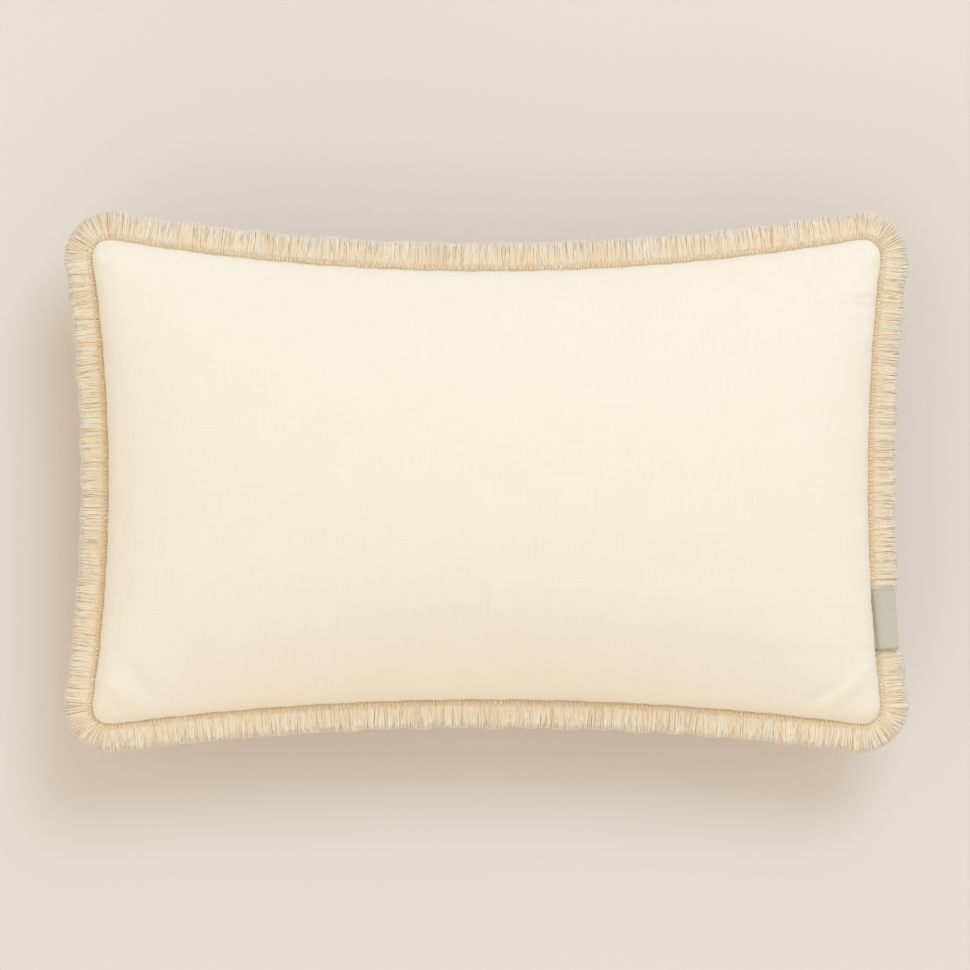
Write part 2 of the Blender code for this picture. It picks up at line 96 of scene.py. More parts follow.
def side_x(a, b):
    """Distance from the middle to the left or right side, at b along it."""
    pull = np.where(a > 0, PULL_RIGHT, PULL_LEFT)
    radius = arc_radius(HALF_Y, pull)
    return HALF_X - pull + radius - np.sqrt(radius ** 2 - b ** 2)


def side_y(a, b):
    """Distance from the middle to the top or bottom side, at a along it."""
    pull = np.where(b > 0, PULL_TOP, PULL_BOTTOM)
    radius = arc_radius(HALF_X, pull)
    return HALF_Y - pull + radius - np.sqrt(radius ** 2 - a ** 2)


def bow(a, b):
    """Pull points of the plain rectangle in, as the filling does."""
    return np.stack([a / HALF_X * side_x(a, b), b / HALF_Y * side_y(a, b)], axis=-1)


class Seam:
    """A seam line: the corner box less an inset, with rounded corners, its sides pulled in."""

    def __init__(self, inset, corner):
        self.half_a, self.half_b = HALF_X - inset, HALF_Y - inset
        self.corner = corner

    def flat(self, u, v):
        b = v * self.half_b
        past = np.maximum(0, abs(b) - (self.half_b - self.corner))
        reach = self.half_a - self.corner + np.sqrt(np.maximum(0, self.corner ** 2 - past ** 2))
        return u * reach, b

    def plan(self, u, v):
        return bow(*self.flat(u, v))

    def past(self, a, b):
        return abs(a) - (self.half_a - self.corner), abs(b) - (self.half_b - self.corner)

    def depth(self, u, v):
        """How far inside the seam points lie."""
        past_a, past_b = self.past(*self.flat(u, v))
        outside = np.hypot(np.maximum(past_a, 0), np.maximum(past_b, 0))
        return self.corner - outside - np.minimum(np.maximum(past_a, past_b), 0)

    def outward(self, a, b):
        """Direction away from the pillow at points on the seam line."""
        pull_x = np.where(a > 0, PULL_RIGHT, PULL_LEFT)
        pull_y = np.where(b > 0, PULL_TOP, PULL_BOTTOM)
        from_x = -np.arcsin(abs(b) / arc_radius(HALF_Y, pull_x))
        from_y = math.pi / 2 + np.arcsin(abs(a) / arc_radius(HALF_X, pull_y))
        past_a, past_b = self.past(a, b)
        share = np.arctan2(np.maximum(past_b, 0), np.maximum(past_a, 0)) / (math.pi / 2)
        angle = from_x + share * (from_y - from_x)
        outward_x, outward_y = np.copysign(1, a) * np.cos(angle), np.copysign(1, b) * np.sin(angle)
        return np.stack([outward_x, outward_y], axis=-1)

    def trace(self, corner_steps=24, side_steps=160):
        """Close points round the seam, anticlockwise from the right side's top: place and outward."""
        flat = []
        straight = np.array([self.half_a - self.corner, self.half_b - self.corner])
        middles = [straight * signs for signs in ((1, 1), (-1, 1), (-1, -1), (1, -1))]
        for turn, middle in enumerate(middles):
            angle = (turn + np.linspace(0, 1, corner_steps + 1)) * math.pi / 2
            flat.append(middle + self.corner * np.stack([np.cos(angle), np.sin(angle)], axis=-1))
            end = (turn + 1) * math.pi / 2
            finish = middles[(turn + 1) % 4] + self.corner * np.array([math.cos(end), math.sin(end)])
            share = np.linspace(0, 1, side_steps + 1)[1:-1, None]
            flat.append(flat[-1][-1] * (1 - share) + finish * share)
        a, b = np.concatenate(flat).T
        return bow(a, b), self.outward(a, b)

    def around(self, count):
        """Even points round the seam: place, outward, distance so far and the whole length."""
        place, outward = self.trace()
        place = np.vstack([place, place[:1]])
        outward = np.vstack([outward, outward[:1]])
        run = np.concatenate([[0], np.cumsum(np.linalg.norm(np.diff(place, axis=0), axis=1))])
        at = np.linspace(0, 1, count, endpoint=False) * run[-1]
        place = np.stack([np.interp(at, run, place[:, k]) for k in range(2)], axis=-1)
        outward = np.stack([np.interp(at, run, outward[:, k]) for k in range(2)], axis=-1)
        outward /= np.linalg.norm(outward, axis=1, keepdims=True)
        return place, outward, at, run[-1]


COVER_SEAM = Seam(0, CORNER_R)
INSERT_SEAM = Seam(18 * MM, 16 * MM)
INSERT_ROLL = 3.5 * MM
FIBRE_SEAM = Seam(19.6 * MM, 16 * MM)
SEAM_LONG = COVER_SEAM.around(4)[3]


def crown(u, v):
    """Height of a filled panel, from 0 along its seam to 1 in the middle."""
    return np.maximum(0, 1 - u * u) ** 0.45 * np.maximum(0, 1 - abs(v) ** 2.2) ** 0.8


def roll(depth, high=ROLL):
    """How far a panel has rolled up off its seam at a depth inside it."""
    return high * (1 - np.exp(-np.maximum(depth, 0) / ROLL_DEEP))


def waves(at, period, lengths, seed):
    """A smooth random curve along the seam, about 1 high, that closes on itself."""
    rng = np.random.default_rng(seed)
    total = np.zeros_like(at)
    for length in lengths:
        turns = round(period / length)
        for k in range(-2, 3):
            swing = rng.normal()
            total += swing * np.sin(FULL_TURN * (turns + k) * at / period + rng.uniform(0, ANY_PHASE))
    return total / math.sqrt(len(lengths) * 2.5)


# ---- materials ----
class Look:
    """A Principled material with short ways to add nodes to it. Texture scales are per metre."""

    def __init__(self, name, roughness, metallic=0.0, sheen=0.0):
        self.material = bpy.data.materials.new(name)
        self.material.use_nodes = True
        self.tree = self.material.node_tree
        self.shader = self.tree.nodes["Principled BSDF"]
        self.shader.inputs["Roughness"].default_value = roughness
        self.shader.inputs["Metallic"].default_value = metallic
        self.shader.inputs["Sheen Weight"].default_value = sheen
        self.shader.inputs["Sheen Roughness"].default_value = 0.5
        self.shader.inputs["Specular IOR Level"].default_value = 0.3 if metallic == 0 else 0.5

    def add(self, kind, **sockets):
        """A new node, its sockets fed by name, with _ for a space."""
        node = self.tree.nodes.new(kind)
        for key, value in sockets.items():
            self.feed(node.inputs[key.replace("_", " ")], value)
        return node

    def feed(self, socket, value):
        if isinstance(value, bpy.types.NodeSocket):
            self.tree.links.new(value, socket)
        else:
            socket.default_value = value

    def math(self, operation, first, second=0.0, third=0.5):
        node = self.tree.nodes.new("ShaderNodeMath")
        node.operation = operation
        for socket, value in zip(node.inputs, (first, second, third)):
            self.feed(socket, value)
        return node.outputs[0]

    def average(self, first, second):
        return self.math("MULTIPLY", self.math("ADD", first, second), 0.5)

    def object_place(self):
        return self.add("ShaderNodeTexCoord").outputs["Object"]

    def cut_place(self):
        """Where a point lies on the flat cloth, in metres."""
        node = self.tree.nodes.new("ShaderNodeUVMap")
        node.uv_map = "cut"
        return node.outputs["UV"]

    def stretched(self, place, scale):
        node = self.add("ShaderNodeMapping", Vector=place)
        node.inputs["Scale"].default_value = scale
        return node.outputs["Vector"]

    def noise(self, place, scale, detail=2.0, roughness=0.5):
        node = self.add("ShaderNodeTexNoise", Vector=place, Scale=scale, Detail=detail,
                        Roughness=roughness)
        return node.outputs["Fac"]

    def waves(self, distance, pitch, shift=0.0):
        """A sine, from -1 to 1, that repeats each pitch of a distance."""
        turn = self.math("MULTIPLY", distance, FULL_TURN / pitch)
        return self.math("SINE", self.math("ADD", turn, shift))

    def attribute(self, name):
        node = self.tree.nodes.new("ShaderNodeAttribute")
        node.attribute_name = name
        return node.outputs["Fac"]

    def ramp(self, factor, *stops):
        """Colours at places along 0..1."""
        node = self.tree.nodes.new("ShaderNodeValToRGB")
        band = node.color_ramp
        while len(band.elements) < len(stops):
            band.elements.new(0.5)
        for element, (place, colour) in zip(band.elements, stops):
            element.position = place
            element.color = (*colour, 1.0)
        self.feed(node.inputs["Fac"], factor)
        return node.outputs["Color"]

    def mix(self, factor, first, second):
        node = self.tree.nodes.new("ShaderNodeMix")
        node.data_type = "RGBA"
        self.feed(node.inputs["Factor"], factor)
        for socket, colour in (("A", first), ("B", second)):
            is_socket = isinstance(colour, bpy.types.NodeSocket)
            self.feed(node.inputs[socket], colour if is_socket else (*colour, 1.0))
        return node.outputs["Result"]

    def colour(self, socket):
        self.feed(self.shader.inputs["Base Color"], socket)

    def let_through(self, colour, share):
        """Let that share of the light pass through, as thin yarn does."""
        through = self.add("ShaderNodeBsdfTranslucent", Color=colour)
        both = self.tree.nodes.new("ShaderNodeMixShader")
        both.inputs["Fac"].default_value = share
        self.tree.links.new(self.shader.outputs["BSDF"], both.inputs[1])
        self.tree.links.new(through.outputs["BSDF"], both.inputs[2])
        self.tree.links.new(both.outputs["Shader"], self.tree.nodes["Material Output"].inputs["Surface"])

    def bump(self, height, distance, strength=1.0):
        node = self.add("ShaderNodeBump", Height=height, Distance=distance, Strength=strength)
        self.tree.links.new(node.outputs["Normal"], self.shader.inputs["Normal"])


def plain_weave(look, place, pitch):
    """Height of a plain weave, from about 0 to 1, with threads that wander a little."""
    axes = look.add("ShaderNodeSeparateXYZ", Vector=place)
    wander = look.math("MULTIPLY", look.noise(place, 260.0), 2.2)
    along = look.waves(axes.outputs["X"], 2 * pitch, wander)
    across = look.waves(axes.outputs["Y"], 2 * pitch, wander)
    return look.math("MULTIPLY_ADD", look.math("MULTIPLY", along, across), 0.5, 0.5)


def canvas_look(name, pale, deep):
    """Unbleached cotton canvas: a fine plain weave with slubs and a faint mottle."""
    look = Look(name, 0.88, sheen=0.12)
    place = look.cut_place()
    weft = look.noise(look.stretched(place, (30.0, 1300.0, 1.0)), 1.0, 2.0, 0.6)
    warp = look.noise(look.stretched(place, (1300.0, 38.0, 1.0)), 1.0, 2.0, 0.6)
    threads = look.average(weft, warp)
    mottle = look.noise(place, 26.0, 3.0, 0.6)
    tone = look.math("ADD", look.math("MULTIPLY", threads, 0.75), look.math("MULTIPLY", mottle, 0.25))
    base = look.ramp(tone, (0.32, deep), (0.68, pale))
    specks = look.noise(look.stretched(place, (420.0, 1500.0, 1.0)), 1.0, 1.0)
    flecks = look.math("GREATER_THAN", specks, 0.79)
    look.colour(look.mix(look.math("MULTIPLY", flecks, 0.35), base, (0.72, 0.60, 0.42)))
    weave = plain_weave(look, place, 0.55 * MM)
    height = look.math("ADD", look.math("MULTIPLY", weave, 0.6), look.math("MULTIPLY", threads, 1.1))
    look.bump(height, 0.13 * MM, 0.45)
    return look.material


def yarn_look():
    """Cream fringe yarn: deeper and warmer towards the heading, paler at the cut ends. The deeper colour at
    the roots is painted shade and painted warm light bounced among the yarns. tone shades each yarn.
    """
    look = Look("fringe_yarn", 0.75, sheen=0.5)
    look.shader.inputs["Sheen Tint"].default_value = (1.0, 0.88, 0.70, 1.0)
    along = look.attribute("along")
    tone = look.attribute("tone")
    # the root end of each ramp is deeper and warmer: painted shade and painted bounced light among the roots
    dark = look.ramp(along, (0.0, (1.0, 0.81, 0.56)), (0.25, (1.0, 0.82, 0.58)), (0.75, (1.0, 0.84, 0.62)),
                     (1.0, (1.0, 0.90, 0.74)))
    light = look.ramp(along, (0.0, (1.0, 0.88, 0.70)), (0.25, (1.0, 0.90, 0.73)), (0.75, (1.0, 0.92, 0.77)),
                      (1.0, (1.0, 0.95, 0.85)))
    colour = look.mix(tone, dark, light)
    look.colour(colour)
    look.let_through(colour, 0.05)
    fibre = look.noise(look.stretched(look.object_place(), (2600.0, 2600.0, 2600.0)), 1.0, 2.0)
    look.bump(fibre, 0.08 * MM, 0.5)
    return look.material


def thread_look(name, pale, deep):
    look = Look(name, 0.7, sheen=0.2)
    place = look.object_place()
    look.colour(look.ramp(look.noise(place, 420.0, 3.0), (0.3, deep), (0.7, pale)))
    look.bump(look.noise(place, 3200.0, 2.0), 0.08 * MM, 0.5)
    return look.material


def tape_look(name, pale, deep):
    """Woven tape with fine ribs across it."""
    look = Look(name, 0.8, sheen=0.15)
    place = look.object_place()
    axes = look.add("ShaderNodeSeparateXYZ", Vector=place)
    ribs = look.math("MULTIPLY_ADD", look.waves(axes.outputs["X"], 0.7 * MM), 0.5, 0.5)
    speck = look.noise(place, 900.0, 2.0)
    look.colour(look.ramp(look.average(ribs, speck), (0.25, deep), (0.75, pale)))
    look.bump(ribs, 0.06 * MM, 0.6)
    return look.material


def label_look():
    """Sage woven tape, left blank, with fine cross ribs."""
    look = Look("side_label", 0.62, sheen=0.15)
    place = look.cut_place()
    axes = look.add("ShaderNodeSeparateXYZ", Vector=place)
    ribs = look.math("MULTIPLY_ADD", look.waves(axes.outputs["Y"], 0.42 * MM), 0.5, 0.5)
    grain = look.noise(look.stretched(place, (2400.0, 500.0, 1.0)), 1.0, 2.0)
    look.colour(look.ramp(look.average(ribs, grain), (0.2, (0.50, 0.485, 0.39)), (0.8, (0.66, 0.645, 0.54))))
    look.bump(look.math("ADD", ribs, grain), 0.05 * MM, 0.6)
    return look.material


def metal_look(name, colour):
    """Matt plated zinc with faint handling marks."""
    look = Look(name, 0.6, metallic=1.0)
    place = look.object_place()
    marks = look.noise(look.stretched(place, (900.0, 250.0, 900.0)), 1.0, 4.0, 0.6)
    darker = tuple(channel * 0.82 for channel in colour)
    look.colour(look.ramp(marks, (0.3, darker), (0.7, colour)))
    look.feed(look.shader.inputs["Roughness"], look.math("MULTIPLY_ADD", marks, 0.2, 0.5))
    look.bump(marks, 0.02 * MM, 0.3)
    return look.material


def nylon_look():
    look = Look("zip_coil", 0.38)
    place = look.object_place()
    tone = look.noise(place, 500.0, 2.0)
    look.colour(look.ramp(tone, (0.3, (0.80, 0.73, 0.58)), (0.7, (0.88, 0.82, 0.69))))
    look.bump(look.noise(place, 2500.0, 2.0), 0.02 * MM, 0.4)
    return look.material


def non_woven_look():
    """Spun-bonded casing: pale, with the small pressed dots that hold it together."""
    look = Look("insert_casing", 0.8)
    place = look.cut_place()
    dots = look.add("ShaderNodeTexVoronoi", Vector=place, Scale=620.0, Randomness=0.15)
    pressed = look.math("LESS_THAN", dots.outputs["Distance"], 0.28)
    fibre = look.noise(place, 900.0, 4.0, 0.7)
    look.colour(look.ramp(look.math("SUBTRACT", fibre, look.math("MULTIPLY", pressed, 0.15)),
                          (0.2, (0.78, 0.78, 0.76)), (0.7, (0.93, 0.93, 0.92))))
    look.bump(look.math("SUBTRACT", fibre, pressed), 0.1 * MM, 0.5)
    return look.material


def fibre_look():
    look = Look("insert_filling", 0.95, sheen=0.4)
    place = look.object_place()
    tufts = look.noise(place, 60.0, 6.0, 0.75)
    strands = look.noise(look.stretched(place, (900.0, 260.0, 500.0)), 1.0, 5.0, 0.8)
    look.colour(look.ramp(tufts, (0.3, (0.82, 0.82, 0.80)), (0.7, (0.97, 0.97, 0.96))))
    look.bump(look.math("ADD", tufts, strands), 1.2 * MM, 0.7)
    return look.material


CANVAS = canvas_look("cover_canvas", (0.945, 0.885, 0.765), (0.90, 0.83, 0.69))
YARN = yarn_look()
# heading loops: partly their own tan, partly painted shade and painted warm bounced light at the heading
HEADING_YARN = thread_look("heading_yarn", (1.0, 0.87, 0.66), (0.98, 0.79, 0.54))
THREAD = thread_look("sewing_thread", (0.88, 0.81, 0.68), (0.76, 0.67, 0.52))
TAPE_CLOTH = tape_look("zip_tape", (0.86, 0.79, 0.66), (0.74, 0.66, 0.52))
# heading tape: its deep colour is painted shade in the gaps between the heading's loops
HEADING_TAPE = tape_look("heading_tape", (0.80, 0.66, 0.45), (0.64, 0.49, 0.30))
NYLON = nylon_look()
METAL = metal_look("zip_metal", (0.62, 0.60, 0.55))
LABEL = label_look()
SATIN = tape_look("care_satin", (0.92, 0.92, 0.90), (0.82, 0.82, 0.80))
NON_WOVEN = non_woven_look()
FIBRE = fibre_look()


# ---- meshes ----
def make_mesh(name, points, faces, material, smooth=True):
    """An object from an array of points and a list of arrays of faces, each of one size."""
    mesh = bpy.data.meshes.new(name)
    mesh.vertices.add(len(points))
    mesh.vertices.foreach_set("co", np.asarray(points, np.float32).ravel())
    corners = np.concatenate([part.ravel() for part in faces]).astype(np.int32)
    sizes = np.concatenate([np.full(len(part), part.shape[1]) for part in faces])
    starts = np.concatenate([[0], np.cumsum(sizes)[:-1]]).astype(np.int32)
    mesh.loops.add(len(corners))
    mesh.loops.foreach_set("vertex_index", corners)
    mesh.polygons.add(len(sizes))
    mesh.polygons.foreach_set("loop_start", starts)
    mesh.update(calc_edges=True)
    mesh.validate()
    if smooth:
        mesh.shade_smooth()
    mesh.materials.append(material)
    item = bpy.data.objects.new(name, mesh)
    bpy.context.scene.collection.objects.link(item)
    return item


def set_values(item, name, values):
    """Give each point a number that the material reads."""
    layer = item.data.attributes.new(name, "FLOAT", "POINT")
    layer.data.foreach_set("value", np.asarray(values, np.float32).ravel())


def set_cut(item, flat):
    """Give each point its place on the flat cloth, in metres."""
    layer = item.data.uv_layers.new(name="cut")
    corners = np.zeros(len(item.data.loops), np.int32)
    item.data.loops.foreach_get("vertex_index", corners)
    layer.data.foreach_set("uv", np.asarray(flat, np.float32)[corners].ravel())


def strands(name, paths, radius, sides, material, closed=False, aside=None, smooth=True):
    """Round strands in one mesh. paths holds strands x points x 3, radius a number or one per point.

    aside is a direction that isn't along the strand, up if it isn't given: its round section
    starts from there.
    """
    count, points, _ = paths.shape
    if closed:
        tangent = np.roll(paths, -1, axis=1) - np.roll(paths, 1, axis=1)
    else:
        tangent = np.gradient(paths, axis=1)
    tangent /= np.linalg.norm(tangent, axis=2, keepdims=True)
    if aside is None:
        aside = np.zeros_like(paths)
        aside[..., 2] = 1
    first = np.cross(tangent, aside)
    first /= np.linalg.norm(first, axis=2, keepdims=True)
    second = np.cross(tangent, first)
    angle = np.arange(sides) * FULL_TURN / sides
    size = np.broadcast_to(np.asarray(radius, float), (count, points))[..., None, None]
    ring = (first[:, :, None] * np.cos(angle)[None, None, :, None]
            + second[:, :, None] * np.sin(angle)[None, None, :, None])
    verts = paths[:, :, None] + size * ring
    index = np.arange(count * points * sides).reshape(count, points, sides)
    if closed:
        here, there = index, np.roll(index, -1, axis=1)
    else:
        here, there = index[:, :-1], index[:, 1:]
    quads = np.stack([here, there, np.roll(there, -1, axis=2), np.roll(here, -1, axis=2)], axis=-1)
    faces = [quads.reshape(-1, 4)]
    if not closed:
        faces += [index[:, 0], index[:, -1][:, ::-1]]
    return make_mesh(name, verts.reshape(-1, 3), faces, material, smooth)


def thicken(item, thickness, offset=0):
    """Give a sheet its thickness: about its middle, or all behind its face where offset is -1."""
    solid = item.modifiers.new("thickness", "SOLIDIFY")
    solid.thickness = thickness
    solid.offset = offset
    solid.use_even_offset = False


def keep(item, body, slot, *nodes):
    """Tie a finished piece to its body and hide the CAD nodes that it stands for. slot, its finish, is not
    used.
    """
    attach(item, body)
    if nodes:
        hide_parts(*nodes)


# ---- cover and casings ----
def spread(count, power):
    """Values from -1 to 1 that close up towards both ends."""
    share = np.linspace(-1, 1, count + 1)
    return np.sign(share) * (1 - (1 - abs(share)) ** power)


def finer(count, times):
    """Matrix that reads a smooth curve through count + 1 values at a finer spacing.

    It is the cubic through each four neighbours, with the ends carried on straight.
    """
    wanted = np.linspace(0, count, count * times + 1)
    base = np.minimum(wanted.astype(int), count - 1)
    t = wanted - base
    weights = (-t ** 3 / 2 + t ** 2 - t / 2, 3 * t ** 3 / 2 - 5 * t ** 2 / 2 + 1,
               -3 * t ** 3 / 2 + 2 * t ** 2 + t / 2, t ** 3 / 2 - t ** 2 / 2)
    matrix = np.zeros((len(wanted), count + 1))
    rows = np.arange(len(wanted))
    for k, weight in enumerate(weights):
        at = base + k - 1
        inside = np.clip(at, 0, count)
        np.add.at(matrix, (rows, inside), weight)
        beyond = at != inside
        inner = np.where(at < 0, 1, count - 1)
        np.add.at(matrix, (rows[beyond], inside[beyond]), weight[beyond])
        np.add.at(matrix, (rows[beyond], inner[beyond]), -weight[beyond])
    return matrix


def blurring(count, width):
    """Matrix that evens values out over about width of their spacings."""
    index = np.arange(count + 1)
    matrix = np.exp(-((index[:, None] - index[None]) / width) ** 2)
    return matrix / matrix.sum(axis=1, keepdims=True)


def grid_faces(columns, rows):
    index = np.arange(columns * rows).reshape(columns, rows)
    quads = np.stack([index[:-1, :-1], index[1:, :-1], index[1:, 1:], index[:-1, 1:]], axis=-1)
    return quads.reshape(-1, 4)


def inflate(name, rest, held, side):
    """Cloth cut to the rest shape, its rim drawn in to the held shape and blown out by the filling.

    Both are grids of points. The simulation moves only the cloth between the rims.
    """
    columns, rows, _ = rest.shape
    faces = grid_faces(columns, rows)[:, ::side]      # the filling pushes along the faces' normals
    item = make_mesh(name, rest.reshape(-1, 3), [faces], CANVAS)
    item.shape_key_add(name="Basis")
    sewn = item.shape_key_add(name="sewn")
    sewn.data.foreach_set("co", held.astype(np.float32).ravel())
    drawn_in, frames = 13, 30
    for moment, value in ((1, 0.0), (drawn_in, 1.0)):
        sewn.value = value
        sewn.keyframe_insert("value", frame=moment)
    index = np.arange(columns * rows).reshape(columns, rows)
    rim = np.unique(np.concatenate([index[0], index[-1], index[:, 0], index[:, -1]]))
    item.vertex_groups.new(name="rim").add([int(k) for k in rim], 1.0, "REPLACE")
    cloth = item.modifiers.new("cloth", "CLOTH")
    settings = cloth.settings
    settings.quality = 6
    settings.mass = 0.001
    settings.air_damping = 1.0
    settings.tension_stiffness = settings.compression_stiffness = 40
    settings.shear_stiffness = 12
    settings.bending_stiffness = 0.5
    settings.tension_damping = settings.compression_damping = settings.shear_damping = 5
    settings.bending_damping = 0.5
    settings.use_pressure = True
    settings.uniform_pressure_force = 100
    settings.vertex_group_mass = "rim"
    settings.effector_weights.gravity = 0
    cloth.collision_settings.use_collision = False
    cloth.point_cache.frame_end = frames
    bpy.context.scene.frame_end = frames
    for moment in range(1, frames + 1):
        bpy.context.scene.frame_set(moment)
    shaped = item.evaluated_get(bpy.context.evaluated_depsgraph_get()).data
    result = np.zeros(len(shaped.vertices) * 3, np.float32)
    shaped.vertices.foreach_get("co", result)
    bpy.data.objects.remove(item, do_unlink=True)
    bpy.context.scene.frame_set(1)
    return result.reshape(columns, rows, 3).astype(float)


def along_side(a, b):
    """How far along the nearest side points lie."""
    near_x = (HALF_X - abs(a)) < (HALF_Y - abs(b))
    return np.where(near_x, b, a)


def puckers(seam, u, v, side, seed):
    """Small gathers that the seam puts in the cloth: they fade out away from it."""
    a, b = seam.flat(u, v)
    depth = np.maximum(seam.depth(u, v), 0)
    run = along_side(a, b)
    rng = np.random.default_rng(seed)
    height = np.zeros_like(a)
    for length, share in ((9 * MM, 0.5), (15 * MM, 0.8), (27 * MM, 1.0)):
        for _ in range(3):
            wave = length * rng.uniform(0.85, 1.2)
            lean = rng.uniform(-0.35, 0.35)
            phase = rng.uniform(0, FULL_TURN)
            strength = 0.5 + 0.5 * np.sin(run / rng.uniform(24, 60) / MM + phase)
            height += share * strength * np.sin((run + lean * depth) * FULL_TURN / wave + phase)
    fade = np.exp(-depth / (11 * MM)) * (1 - np.exp(-depth / (2 * MM)))
    corner = np.exp(-np.hypot(HALF_X - abs(a), HALF_Y - abs(b)) / (38 * MM))
    return side * height * fade * (0.13 + 0.55 * corner) * MM


def fold(place, spot, lean, long, wide, high):
    """A soft crease of its own: high at its middle, long and wide along and across its lean."""
    away = place - np.array(spot)
    direction = np.array([math.cos(lean), math.sin(lean)])
    along = away @ direction
    across = away @ np.array([-direction[1], direction[0]])
    return high * np.exp(-(along / long) ** 2 - (across / wide) ** 2)


def lift_for_label(a, b):
    """How far the front cloth's edge is raised by the label's layers in the right seam."""
    return 0.75 * MM * np.exp(-((b - LABEL_B) / (21 * MM)) ** 6) * (a > 0)


def front_shape(u, v, slack=1.0):
    """Points of the front panel; slack widens its plan."""
    edge = FRONT_EDGE + lift_for_label(*COVER_SEAM.flat(u, v))
    high = edge + (FRONT_CROWN - FRONT_EDGE - ROLL) * crown(u, v) + roll(COVER_SEAM.depth(u, v))
    return np.concatenate([COVER_SEAM.plan(u, v) * slack, (SEAM_Z + high)[..., None]], axis=-1)


def opening_share(x, v):
    """1 along the zip's opening in the back, easing to 0 beyond its ends."""
    past = (abs(x) - OPENING_HALF) / OPENING_END
    return (v < 0) * (1 - np.clip(past, 0, 1) ** 2 * (3 - 2 * np.clip(past, 0, 1)))


def back_shape(u, v, slack=1.0):
    """Points of the back panel, its rim drawn in and down along the zip's opening."""
    plan = COVER_SEAM.plan(u, v)
    edge = side_y(*COVER_SEAM.flat(u, v))
    open_here = opening_share(plan[..., 0], v)
    y = plan[..., 1] - open_here * v * v * OPENING_OUT
    drop = (BACK_CROWN - ROLL) * crown(u, np.clip(y / edge, -1, 1)) + roll(COVER_SEAM.depth(u, v))
    rim_drop = (BACK_CROWN - ROLL) * crown(u, 1 + open_here * OPENING_OUT / edge)
    near_rim = abs(v) ** 24
    z = BACK_EDGE - drop - (open_here * -OPENING_UP - rim_drop) * near_rim
    return np.stack([plan[..., 0] * slack, y * slack, SEAM_Z + z], axis=-1)


def settle(z, floor, soft):
    """Heights pressed against the floor from below, with a soft start to the contact."""
    return floor + soft * np.logaddexp(0, (z - floor) / soft)


def sewn_sheet(name, grid, flat, allowance, cloth, side, material):
    """A panel from its grid of points, as thick cloth with an allowance turned in all round.

    A negative allowance stands out from the seam.
    """
    columns, rows, _ = grid.shape
    index = np.arange(columns * rows).reshape(columns, rows)
    ring = np.concatenate([index[:-1, 0], index[-1, :-1], index[:0:-1, -1], index[0, :0:-1]])
    points, cut = grid.reshape(-1, 3), flat.reshape(-1, 2)
    rim, rim_cut = points[ring], cut[ring]
    run = (np.roll(rim, -1, axis=0) - np.roll(rim, 1, axis=0))[:, :2]
    outward = np.stack([run[:, 1], -run[:, 0]], axis=-1)
    outward /= np.linalg.norm(outward, axis=1, keepdims=True)
    cut_out = rim_cut / np.linalg.norm(rim_cut, axis=1, keepdims=True)
    layers, layer_cuts = [points], [cut]
    faces, near = [grid_faces(columns, rows)], ring
    turned_in = ((0.35 * MM, 0.35 * MM), (2 * MM, 0.3 * MM), (allowance, 0.1 * MM))
    for inward, back in turned_in:
        far = sum(len(layer) for layer in layers) + np.arange(len(ring))
        layer = rim.copy()
        layer[:, :2] -= outward * inward
        layer[:, 2] -= side * back
        layers.append(layer)
        layer_cuts.append(rim_cut + cut_out * inward)
        faces.append(np.stack([near, far, np.roll(far, -1), np.roll(near, -1)], axis=-1))
        near = far
    faces = np.concatenate(faces)[:, ::side]
    item = make_mesh(name, np.concatenate(layers), [faces], material)
    set_cut(item, np.concatenate(layer_cuts))
    thicken(item, cloth, -1)
    return item


def panel(name, node, slot, side, grid, place, cut, allowance, cloth, material):
    """A sewn sheet from its grid. place is the grid's (u, v), cut its flat sides seam to seam."""
    flat = np.stack([place[0] * cut[0] / 2, place[1] * cut[1] / 2], axis=-1)
    item = sewn_sheet(name, grid, flat, allowance, cloth, side, material)
    keep(item, PILLOW, slot, node)


def scallop(grid, u, v, seed):
    """Move the rim in and out a little, as the stitches draw it, easing off inside."""
    a, b = COVER_SEAM.flat(u, v)
    run = along_side(a, b)
    rng = np.random.default_rng(seed)
    wave = np.zeros_like(a)
    for length, share in ((4.6 * MM, 0.08), (13 * MM, 0.1), (31 * MM, 0.15)):
        wave += share * np.sin(run * FULL_TURN / length + rng.uniform(0, ANY_PHASE))
    fade = np.exp(-np.maximum(COVER_SEAM.depth(u, v), 0) / (5 * MM))
    grid[..., :2] += COVER_SEAM.outward(a, b) * (wave * fade * MM)[..., None]


U, V = np.meshgrid(spread(GRID[0], 1.35), spread(GRID[1], 1.35), indexing="ij")
FINE_A, FINE_B = finer(GRID[0], FINER), finer(GRID[1], FINER)


def refined(grid):
    """A smooth finer grid through a grid of numbers or of points."""
    if grid.ndim == 2:
        return FINE_A @ grid @ FINE_B.T
    return np.stack([FINE_A @ grid[..., k] @ FINE_B.T for k in range(grid.shape[2])], axis=-1)


FINE_U, FINE_V = np.clip(refined(U), -1, 1), np.clip(refined(V), -1, 1)


